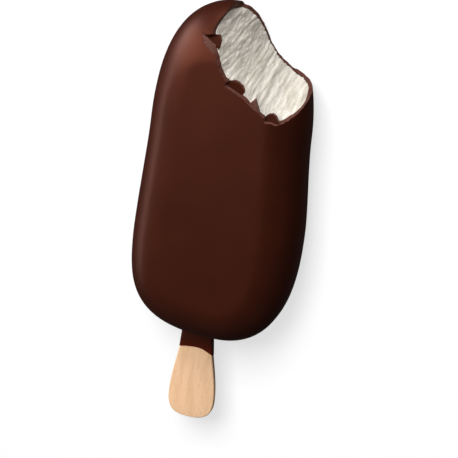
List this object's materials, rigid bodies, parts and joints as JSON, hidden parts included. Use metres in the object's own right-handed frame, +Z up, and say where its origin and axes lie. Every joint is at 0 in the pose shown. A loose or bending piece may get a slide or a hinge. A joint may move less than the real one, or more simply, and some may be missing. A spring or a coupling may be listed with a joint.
{
  "type": "ice cream bar",
  "caption": "Chocolate-coated ice cream bar on a flat wooden stick, with its upper right corner bitten off to show the ice cream.",
  "frame": {"origin": "under the middle of the whole bar with its stick, on the surface that the bar lies on", "axes": "+Z up, out of the front face; +Y along the bar, from the stick to the domed end; +X to the bitten side"},
  "size_m": [0.05, 0.1276, 0.025],
  "materials": {
    "coating": "milk chocolate set smooth, with a soft satin gloss, rougher and lighter where it is broken",
    "ice_cream": "bitten vanilla ice cream, matt and porous, with streaks left by the teeth",
    "stick": "bare birch, fine straight grain along its length"
  },
  "bodies": {
    "root": {"chocolate_coating": "coating", "ice_cream": "ice_cream", "stick": "stick", "coating_chip_upper": "coating", "coating_chip_middle": "coating", "coating_chip_lower": "coating"}
  },
  "joints": []
}
